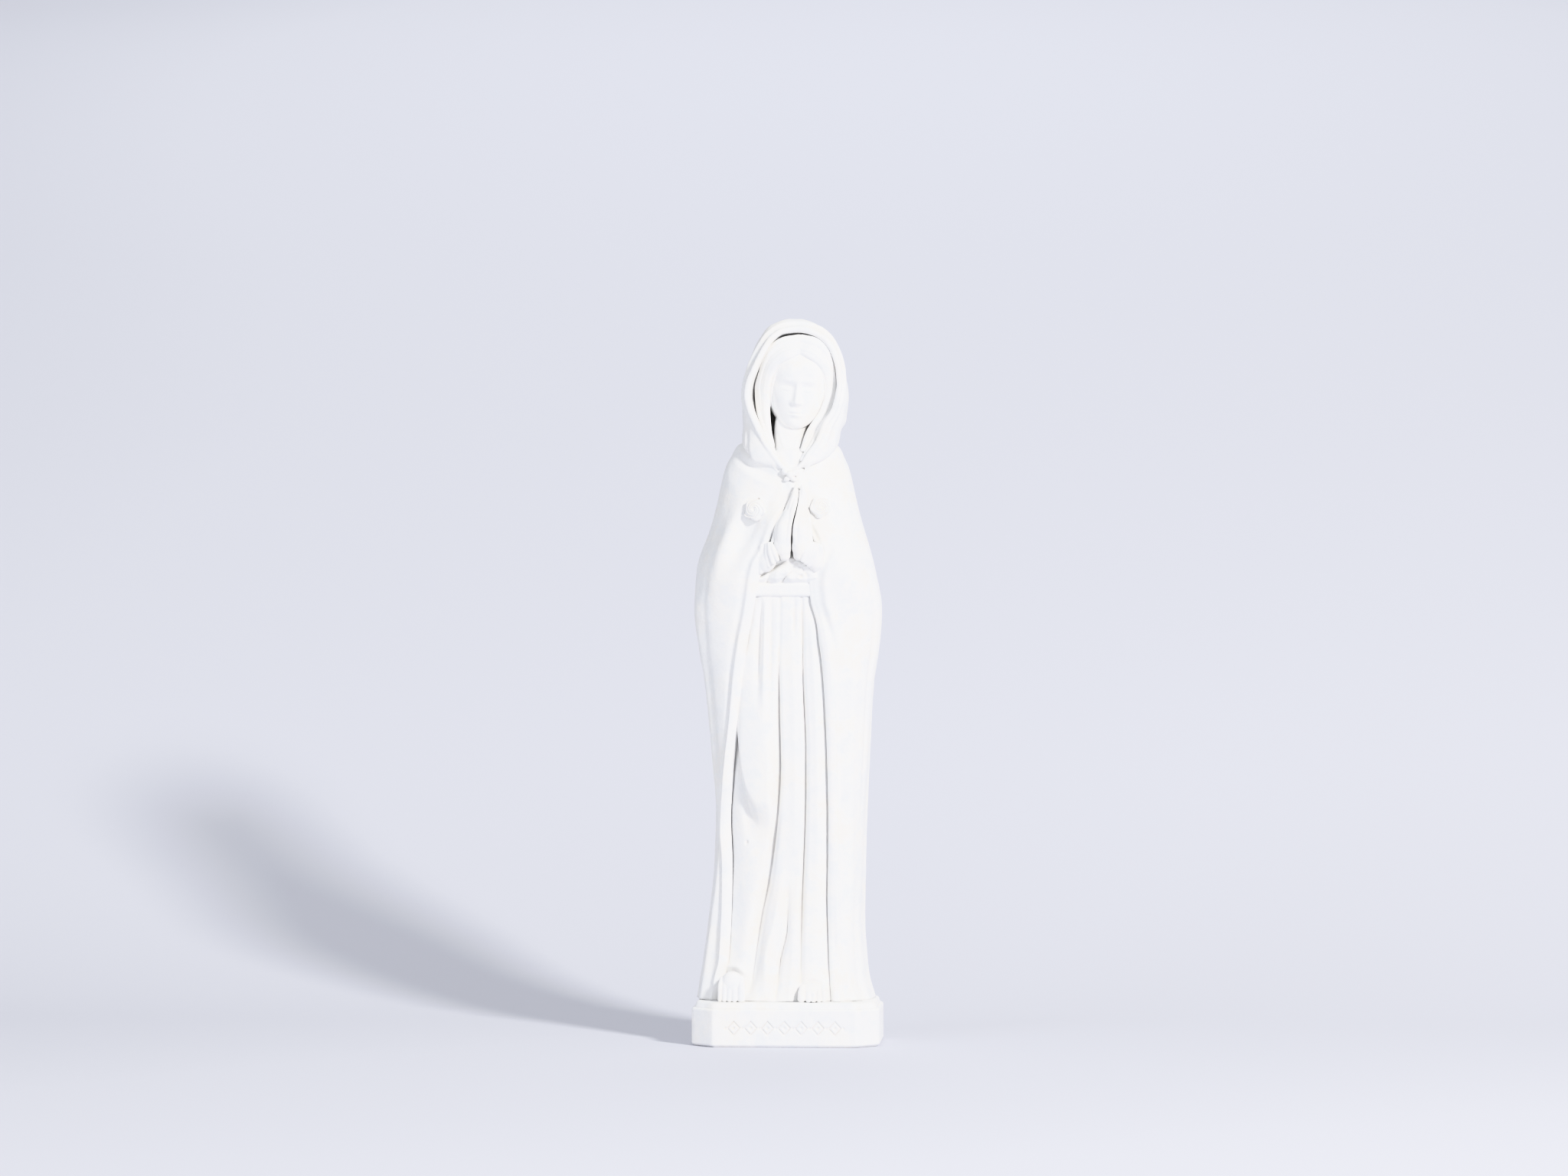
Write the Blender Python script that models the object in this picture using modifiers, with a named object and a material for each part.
"""Praying hooded figure on a plinth, as an assembly of separate pieces.

Units are metres and +Z is up. The figure faces -Y, so its own left is +X. The origin is the middle of
the plinth's underside. Sizes are written in millimetres and turned into metres where a mesh is made.
"""

import math

import bmesh
import bpy
import numpy as np
from mathutils import Matrix, Vector

OBJECT_NAME = "praying_figure"
MM = 0.001

# Driving dimensions, in millimetres.
PLINTH_WIDTH = 65.0
PLINTH_DEPTH = 47.0
PLINTH_CORNER = 7.6
PLINTH_HEIGHT = 13.2
SLAB_INSET = 1.3
SLAB_TOP = 15.3
EDGE_ROUND = 0.8
GAP = 0.5
FINE_GAP = 0.35
CLOTH = 2.3
SQUARENESS = 0.9
CORE_INSET = CLOTH + GAP

SASH_BOTTOM = 154.8
SASH_TOP = 159.0
BODICE_TOP = 201.6
MANTLE_TOP = 202.6
SHOULDER_START = 179.0
SHOULDER_TILT = 0.24
ROD_RADIUS = 2.0
ROD_CLEARANCE = 0.4
ROD_BOTTOM = 4.0
ROD_TOP = 206.0
AROUND = 30

# Cloaked outline: height, left, right, front, back.
CLOAK = [
    (15.7, -31.0, 29.0, -19.4, 19.6),
    (25.0, -29.6, 26.9, -18.0, 18.2),
    (44.0, -27.0, 25.7, -17.0, 16.6),
    (61.0, -25.3, 26.0, -16.8, 15.8),
    (79.0, -24.8, 26.6, -17.0, 15.6),
    (97.0, -26.1, 27.7, -17.2, 15.8),
    (124.0, -28.9, 29.6, -17.6, 16.6),
    (137.0, -31.1, 31.6, -18.0, 17.4),
    (150.0, -32.7, 32.7, -18.6, 18.0),
    (163.0, -32.0, 30.5, -19.0, 18.4),
    (179.0, -26.9, 26.1, -17.8, 17.6),
    (190.0, -23.8, 23.0, -16.6, 16.8),
    (199.0, -21.3, 20.4, -15.2, 16.2),
    (203.0, -19.2, 19.0, -14.0, 15.6),
]

# Free front edges of the mantle: height, right-hand side's edge, left-hand side's edge.
MANTLE_EDGES = [
    (15.7, -22.9, 16.5),
    (30.0, -20.2, 15.1),
    (50.0, -19.7, 14.7),
    (62.0, -19.9, 14.9),
    (77.0, -21.1, 14.9),
    (94.0, -19.9, 14.5),
    (114.0, -18.3, 13.8),
    (129.0, -16.2, 12.9),
    (141.0, -14.3, 11.7),
    (153.0, -11.7, 9.3),
    (166.0, -9.3, 10.5),
    (171.0, -6.9, 12.1),
    (179.0, -1.9, 7.1),
    (188.0, 0.5, 3.5),
    (194.0, 0.7, 1.7),
    (203.0, 0.7, 1.7),
]

# Hood outline: height, left, right, front, back.
HOOD = [
    (203.1, -18.8, 18.7, -15.4, 16.6),
    (207.5, -16.2, 18.6, -15.4, 17.0),
    (212.0, -15.5, 19.3, -14.8, 17.4),
    (219.0, -15.8, 20.6, -14.0, 17.6),
    (226.0, -15.4, 20.9, -13.4, 17.4),
    (233.0, -14.3, 20.3, -12.8, 16.6),
    (239.0, -12.6, 18.6, -12.0, 14.6),
    (244.0, -10.0, 15.9, -10.6, 11.6),
    (248.0, -6.6, 11.8, -8.2, 7.6),
    (250.6, -2.2, 6.2, -4.6, 3.0),
]

# Outline of the hood's opening, seen from the front: across, up.
HOOD_OPENING = [
    (1.5, 200.4),
    (7.7, 205.6),
    (13.1, 213.0),
    (16.5, 221.0),
    (17.8, 229.0),
    (16.4, 237.6),
    (11.5, 244.2),
    (4.3, 246.4),
    (-2.9, 244.2),
    (-8.7, 236.8),
    (-12.6, 228.4),
    (-12.0, 219.2),
    (-8.5, 210.8),
    (-3.9, 205.0),
]

WHITE_PLASTER = (0.86, 0.86, 0.87)
SHADED_PLASTER = (0.84, 0.84, 0.85)
STEEL = (0.45, 0.45, 0.46)


def clear_scene():
    for item in list(bpy.data.objects):
        bpy.data.objects.remove(item)


def make_collection(name):
    collection = bpy.data.collections.new(name)
    bpy.context.scene.collection.children.link(collection)
    return collection


def make_material(name, colour, roughness, metallic=0.0):
    material = bpy.data.materials.new(name)
    material.use_nodes = True
    shader = material.node_tree.nodes["Principled BSDF"]
    shader.inputs["Base Color"].default_value = (*colour, 1.0)
    shader.inputs["Roughness"].default_value = roughness
    shader.inputs["Metallic"].default_value = metallic
    return material


def add_mesh(name, mesh, collection, colour, roughness=0.8, metallic=0.0):
    """Puts a mesh in the scene as one named piece with its own material."""
    piece = bpy.data.objects.new(name, mesh)
    collection.objects.link(piece)
    if colour is not None:
        mesh.materials.append(make_material(name, colour, roughness, metallic))
    mesh.shade_smooth()
    mesh.set_sharp_from_angle(angle=math.radians(40))
    return piece


def finish_bmesh(name, bm):
    bmesh.ops.recalc_face_normals(bm, faces=bm.faces)
    mesh = bpy.data.meshes.new(name)
    bm.to_mesh(mesh)
    bm.free()
    return mesh


def loft_mesh(name, rings):
    """A closed solid through rings of points in millimetres, each ring with the same number of points."""
    bm = bmesh.new()
    loops = [[bm.verts.new(Vector(point) * MM) for point in ring] for ring in rings]
    count = len(loops[0])
    for low, high in zip(loops, loops[1:]):
        for i in range(count):
            j = (i + 1) % count
            bm.faces.new((low[i], low[j], high[j], high[i]))
    for cap in (loops[0], loops[-1]):
        bm.faces.new(cap)
    bmesh.ops.triangulate(bm, faces=[face for face in bm.faces if len(face.verts) > 4])
    return finish_bmesh(name, bm)


def ellipsoid_mesh(name, radii, segments=20, rings=12):
    """A sphere stretched to three radii, in millimetres."""
    bm = bmesh.new()
    bmesh.ops.create_uvsphere(bm, u_segments=segments, v_segments=rings, radius=1.0)
    bmesh.ops.scale(bm, vec=Vector(radii) * MM, verts=bm.verts)
    return finish_bmesh(name, bm)


def add_cutter(name, mesh, cutters):
    cutter = add_mesh(name, mesh, cutters, None)
    cutter.hide_render = True
    cutter.display_type = "WIRE"
    return cutter


def cut(piece, cutter, operation="DIFFERENCE"):
    modifier = piece.modifiers.new(cutter.name, "BOOLEAN")
    modifier.operation = operation
    modifier.solver = "EXACT"
    modifier.object = cutter


def bevel(piece, width, segments=2):
    modifier = piece.modifiers.new("edge_round", "BEVEL")
    modifier.width = width * MM
    modifier.segments = segments
    modifier.limit_method = "ANGLE"
    modifier.angle_limit = math.radians(30)


def read_table(table, height):
    """The row of a table of heights at one height, read between its rows."""
    rows = np.array(table)
    return [float(np.interp(height, rows[:, 0], rows[:, column])) for column in range(1, rows.shape[1])]


def signed_power(value, exponent):
    return math.copysign(abs(value) ** exponent, value)


def outline_point(table, height, angle, inset=0.0):
    """A point of a body's outline: angle 0 faces front, a quarter turn faces the figure's left."""
    left, right, front, back = read_table(table, height)
    half_width = (right - left) / 2 - inset
    depth = (-front if math.cos(angle) > 0 else back) - inset
    x = (left + right) / 2 + half_width * signed_power(math.sin(angle), SQUARENESS)
    y = -depth * signed_power(math.cos(angle), SQUARENESS)
    return x, y


def edge_angle(height, x):
    """The angle at which the cloaked outline's front passes a given x."""
    left, right, front, back = read_table(CLOAK, height)
    share = (x - (left + right) / 2) / ((right - left) / 2)
    return math.asin(signed_power(share, 1 / SQUARENESS))


def tilted(height, y):
    """The shoulders rise towards the back, more and more above the chest."""
    lift = SHOULDER_TILT * min(1.0, max(0.0, (height - SHOULDER_START) / (MANTLE_TOP - SHOULDER_START)))
    return height + lift * y


def outline_ring(table, height, inset, count=AROUND):
    ring = []
    for i in range(count):
        x, y = outline_point(table, height, 2 * math.pi * i / count, inset)
        ring.append((x, y, tilted(height, y)))
    return ring


def heights_between(table, bottom, top):
    inside = [row[0] for row in table if bottom + 2.0 < row[0] < top - 2.0]
    return [bottom, *inside, top]


def plinth_mesh(name, inset, bottom, top):
    """An octagonal block: a rectangle with its four corners cut off."""
    half_x = PLINTH_WIDTH / 2 - inset
    half_y = PLINTH_DEPTH / 2 - inset
    corner = PLINTH_CORNER - inset * (2 - math.sqrt(2))
    quarter = [(half_x, half_y - corner), (half_x - corner, half_y)]
    ring = quarter + [(-x, y) for x, y in reversed(quarter)]
    ring += [(-x, -y) for x, y in quarter] + [(x, -y) for x, y in reversed(quarter)]
    return loft_mesh(name, [[(x, y, z) for x, y in ring] for z in (bottom, top)])


def build_plinth(parts):
    plinth = add_mesh("plinth", plinth_mesh("plinth", 0.0, 0.0, PLINTH_HEIGHT), parts, WHITE_PLASTER)
    bevel(plinth, EDGE_ROUND)
    slab_mesh = plinth_mesh("ground_slab", SLAB_INSET, PLINTH_HEIGHT + FINE_GAP, SLAB_TOP)
    slab = add_mesh("ground_slab", slab_mesh, parts, WHITE_PLASTER)
    bevel(slab, EDGE_ROUND / 2, segments=1)
    return plinth, slab


def build_core(name, parts, bottom, top, inset):
    """One storey of the body under the mantle."""
    rings = [outline_ring(CLOAK, z, inset) for z in heights_between(CLOAK, bottom, top)]
    return add_mesh(name, loft_mesh(name, rings), parts, WHITE_PLASTER)


def build_mantle(parts):
    """A C-shaped wall of cloth around the body, open down the front."""
    rings = []
    for z in heights_between(CLOAK, CLOAK[0][0], MANTLE_TOP):
        right_edge, left_edge = read_table(MANTLE_EDGES, z)
        start = edge_angle(z, left_edge)
        end = 2 * math.pi + edge_angle(z, right_edge)
        angles = np.linspace(start, end, AROUND)
        outer = [outline_point(CLOAK, z, angle) for angle in angles]
        inner = [outline_point(CLOAK, z, angle, CLOTH) for angle in reversed(angles)]
        rings.append([(x, y, tilted(z, y)) for x, y in outer + inner])
    return add_mesh("mantle", loft_mesh("mantle", rings), parts, WHITE_PLASTER)


# The way up into the hood for the neck, and the room around the neck inside the hair.
NECK_WAY_CENTRE = (2.0, 0.5)
NECK_WAY_RADII = (9.6, 9.0)
NECK_WAY_HEIGHTS = (190.0, 214.0)
NECK_ROOM_CENTRE = (1.4, -2.8)
NECK_ROOM_RADII = (6.6, 7.2)
NECK_ROOM_HEIGHTS = (205.0, 219.0)


def standing_oval(centre, radii, heights, count=16):
    """Rings of an upright oval cylinder, in millimetres."""
    turn = [2 * math.pi * k / count for k in range(count)]
    ring = [(centre[0] + radii[0] * math.cos(a), centre[1] + radii[1] * math.sin(a)) for a in turn]
    return [[(x, y, z) for x, y in ring] for z in heights]


def build_hood(parts, cutters):
    """A domed shell, hollowed from the front by the face opening and from below by the neck's way."""
    rings = [outline_ring(HOOD, row[0], 0.0, 28) for row in HOOD]
    hood = add_mesh("hood", loft_mesh("hood", rings), parts, WHITE_PLASTER)
    centre = np.mean(np.array(HOOD_OPENING), axis=0)
    hollow = []
    for y, share in ((-26.0, 1.0), (-6.0, 0.98), (2.0, 0.93), (8.0, 0.8), (12.0, 0.55), (13.6, 0.2)):
        outline = centre + (np.array(HOOD_OPENING) - centre) * share
        hollow.append([(x, y, z) for x, z in outline])
    cut(hood, add_cutter("hood_hollow", loft_mesh("hood_hollow", hollow), cutters))
    neck_way = standing_oval(NECK_WAY_CENTRE, NECK_WAY_RADII, NECK_WAY_HEIGHTS)
    cut(hood, add_cutter("neck_way", loft_mesh("neck_way", neck_way), cutters))
    return hood


HEAD_CENTRE = Vector((4.1, -3.2, 227.3))
HEAD_RADII = Vector((9.8, 9.6, 14.2))
HEAD_TILT = math.radians(5.0)
HAIR_CENTRE = Vector((4.1, -1.8, 228.6))
HAIR_RADII = Vector((11.6, 10.8, 15.2))
FACE_WINDOW_OFFSET = Vector((0.0, -8.0, -3.4))
FACE_WINDOW_RADII = Vector((9.2, 9.0, 12.6))


def place(piece, centre, tilt=0.0):
    piece.location = centre * MM
    piece.rotation_euler = (0.0, tilt, 0.0)
    return piece


def neck_rings():
    """The neck, flared at its foot, as height, across, back, width and depth."""
    rows = [
        (202.4, 1.7, -0.9, 7.5, 7.1),
        (205.0, 1.3, -2.2, 5.9, 5.8),
        (209.0, 1.0, -3.6, 5.3, 5.1),
        (214.0, 1.0, -4.2, 5.2, 5.0),
        (221.0, 2.4, -3.0, 5.2, 5.0),
    ]
    turn = np.arange(16) * math.pi / 8
    rings = []
    for z, cx, cy, rx, ry in rows:
        ring = [(cx + rx * math.cos(a), cy + ry * math.sin(a)) for a in turn]
        rings.append([(x, y, tilted(z, y)) for x, y in ring])
    return rings


def build_head(parts, cutters):
    head = add_mesh("head", loft_mesh("head", neck_rings()), parts, WHITE_PLASTER)
    skull = add_cutter("skull", ellipsoid_mesh("skull", HEAD_RADII), cutters)
    place(skull, HEAD_CENTRE, HEAD_TILT)
    cut(head, skull, "UNION")
    return head


def build_hair(parts, cutters):
    """Hair around the skull, cut clear of it and open at the face and neck."""
    hair = add_mesh("hair", ellipsoid_mesh("hair", HAIR_RADII), parts, SHADED_PLASTER)
    place(hair, HAIR_CENTRE, HEAD_TILT)
    clearance = Vector((GAP, GAP, GAP))
    room = add_cutter("skull_room", ellipsoid_mesh("skull_room", HEAD_RADII + clearance), cutters)
    cut(hair, place(room, HEAD_CENTRE, HEAD_TILT))
    face = add_cutter("face_window", ellipsoid_mesh("face_window", FACE_WINDOW_RADII), cutters)
    cut(hair, place(face, HEAD_CENTRE + FACE_WINDOW_OFFSET, HEAD_TILT))
    neck_room = standing_oval(NECK_ROOM_CENTRE, NECK_ROOM_RADII, NECK_ROOM_HEIGHTS)
    cut(hair, add_cutter("neck_room", loft_mesh("neck_room", neck_room), cutters))
    return hair


def tube_mesh(name, route, sides=8):
    """A tapered tube: each row of the route is x, y, z and radius, in millimetres."""
    rows = np.array(route)
    rings = []
    for i, row in enumerate(rows):
        ahead = rows[min(i + 1, len(rows) - 1)][:3] - rows[max(i - 1, 0)][:3]
        along = Vector(ahead).normalized()
        across = along.cross(Vector((0.0, 1.0, 0.0))).normalized()
        up = across.cross(along)
        centre, radius = Vector(row[:3]), float(row[3])
        turn = [2 * math.pi * k / sides for k in range(sides)]
        rings.append([centre + (math.cos(a) * across + math.sin(a) * up) * radius for a in turn])
    return loft_mesh(name, rings)


VEIL_RIGHT_ROUTE = [
    (-8.6, -4.2, 233.0, 0.6),
    (-9.9, -5.0, 228.0, 1.2),
    (-9.6, -5.8, 220.0, 1.2),
    (-7.0, -7.8, 212.6, 0.9),
    (-4.2, -10.6, 207.4, 0.6),
]
VEIL_LEFT_ROUTE = [
    (15.9, -5.2, 233.5, 0.5),
    (16.4, -6.2, 228.0, 0.7),
    (15.2, -7.2, 221.0, 0.9),
    (11.4, -9.2, 214.2, 1.0),
    (6.3, -11.4, 206.8, 0.6),
]


def ellipse_loft(name, rows, sides=12):
    """A standing form through ellipses: each row is z, low x, high x, front y, back y."""
    turn = [2 * math.pi * k / sides for k in range(sides)]
    rings = []
    for z, low, high, front, back in rows:
        centre_x, centre_y = (low + high) / 2, (front + back) / 2
        half_x, half_y = (high - low) / 2, (back - front) / 2
        rings.append([(centre_x + half_x * math.cos(a), centre_y + half_y * math.sin(a), z) for a in turn])
    return loft_mesh(name, rings)


HAND_RIGHT = [
    (169.6, -2.1, 2.2, -22.4, -19.6),
    (172.0, -3.1, 2.3, -23.0, -19.2),
    (180.0, -2.2, 2.5, -22.6, -18.5),
    (186.2, 0.3, 3.2, -21.0, -17.8),
    (190.5, 2.0, 3.8, -19.4, -17.2),
    (193.2, 2.9, 4.0, -18.2, -16.9),
]
HAND_LEFT = [
    (169.0, 3.2, 8.1, -22.4, -19.6),
    (172.0, 2.8, 9.0, -23.0, -19.2),
    (179.0, 3.0, 8.6, -22.6, -18.6),
    (187.0, 3.7, 8.3, -20.8, -17.6),
    (190.5, 4.2, 6.9, -19.4, -17.2),
    (193.2, 4.4, 5.5, -18.2, -16.9),
]
SLEEVE_RIGHT = [
    (166.4, -7.3, -3.7, -22.0, -19.6),
    (168.6, -8.1, -3.3, -22.8, -19.5),
    (172.4, -7.9, -3.5, -22.8, -19.3),
    (174.4, -6.3, -3.9, -22.0, -19.4),
]
SLEEVE_LEFT = [
    (167.0, 9.9, 12.3, -22.0, -19.6),
    (169.2, 9.3, 13.1, -22.6, -19.5),
    (172.8, 9.3, 13.1, -22.4, -19.3),
    (174.6, 9.7, 11.9, -21.6, -19.3),
]
FOOT_RIGHT = [
    (15.6, -22.2, -13.8, -21.2, -16.0),
    (18.4, -22.2, -13.8, -21.2, -16.0),
    (22.6, -21.8, -14.2, -19.8, -16.0),
    (26.0, -20.6, -14.8, -18.4, -16.2),
]
FOOT_LEFT = [
    (15.6, 4.6, 14.6, -22.0, -17.6),
    (17.6, 4.6, 14.6, -22.0, -17.6),
    (20.2, 5.0, 14.2, -21.0, -17.8),
    (21.4, 5.8, 13.2, -20.0, -18.2),
]


def surface_place(x, height, offset):
    """A point off the mantle's front at one x and height, and the turn that faces outward there."""
    angle = edge_angle(height, x)
    x0, y0 = outline_point(CLOAK, height, angle)
    x1, y1 = outline_point(CLOAK, height, angle + 0.02)
    x2, y2 = outline_point(CLOAK, height + 2.0, angle)
    around = Vector((x1 - x0, y1 - y0, 0.0))
    upward = Vector((x2 - x0, y2 - y0, 2.0))
    normal = around.cross(upward).normalized()
    centre = Vector((x0, y0, tilted(height, y0))) + normal * offset
    return centre, normal


def build_rose(name, x, height, parts, radius=3.8, thickness=3.0):
    """A shallow rosette: a turned bun of petals that lies on the mantle."""
    mesh = ellipsoid_mesh(name, (radius, radius, thickness / 2), segments=16, rings=8)
    rose = add_mesh(name, mesh, parts, SHADED_PLASTER)
    centre, normal = surface_place(x, height, thickness / 2 + FINE_GAP)
    rose.matrix_world = Matrix.Translation(centre * MM) @ normal.to_track_quat("Z", "Y").to_matrix().to_4x4()
    return rose


def build_rod(parts, cutters, hosts):
    """The reinforcing rod, and its way through each piece that it passes."""
    rod_x, rod_y = 1.8, 0.0

    def cylinder(name, radius, bottom, top):
        turn = np.arange(12) * math.pi / 6
        rings = [[(rod_x + radius * math.cos(a), rod_y + radius * math.sin(a), z) for a in turn]
                 for z in (bottom, top)]
        return loft_mesh(name, rings)

    add_mesh("armature_rod", cylinder("armature_rod", ROD_RADIUS, ROD_BOTTOM, ROD_TOP), parts, STEEL, 0.4, 1.0)
    way_radius = ROD_RADIUS + ROD_CLEARANCE
    way_mesh = cylinder("rod_way", way_radius, ROD_BOTTOM - ROD_CLEARANCE, ROD_TOP + ROD_CLEARANCE)
    way = add_cutter("rod_way", way_mesh, cutters)
    for host in hosts:
        cut(host, way)


def build():
    clear_scene()
    parts = make_collection(OBJECT_NAME)
    cutters = make_collection(OBJECT_NAME + "_cutters")
    plinth, slab = build_plinth(parts)
    tunic = build_core("tunic", parts, SLAB_TOP + FINE_GAP, SASH_BOTTOM - FINE_GAP, CORE_INSET)
    sash = build_core("sash", parts, SASH_BOTTOM, SASH_TOP, CORE_INSET)
    bodice = build_core("bodice", parts, SASH_TOP + FINE_GAP, BODICE_TOP, CORE_INSET)
    build_mantle(parts)
    build_hood(parts, cutters)
    head = build_head(parts, cutters)
    build_hair(parts, cutters)
    add_mesh("veil_right", tube_mesh("veil_right", VEIL_RIGHT_ROUTE), parts, SHADED_PLASTER)
    add_mesh("veil_left", tube_mesh("veil_left", VEIL_LEFT_ROUTE), parts, SHADED_PLASTER)
    limbs = {
        "hand_right": HAND_RIGHT,
        "hand_left": HAND_LEFT,
        "sleeve_right": SLEEVE_RIGHT,
        "sleeve_left": SLEEVE_LEFT,
        "foot_right": FOOT_RIGHT,
        "foot_left": FOOT_LEFT,
    }
    for name, rows in limbs.items():
        add_mesh(name, ellipse_loft(name, rows), parts, WHITE_PLASTER)
    build_rose("rose_right", -10.3, 185.4, parts)
    build_rose("rose_left", 11.7, 186.4, parts)
    build_rose("neck_clasp", 1.2, 198.4, parts, radius=2.3, thickness=2.4)
    build_rod(parts, cutters, (plinth, slab, tunic, sash, bodice, head))


build()
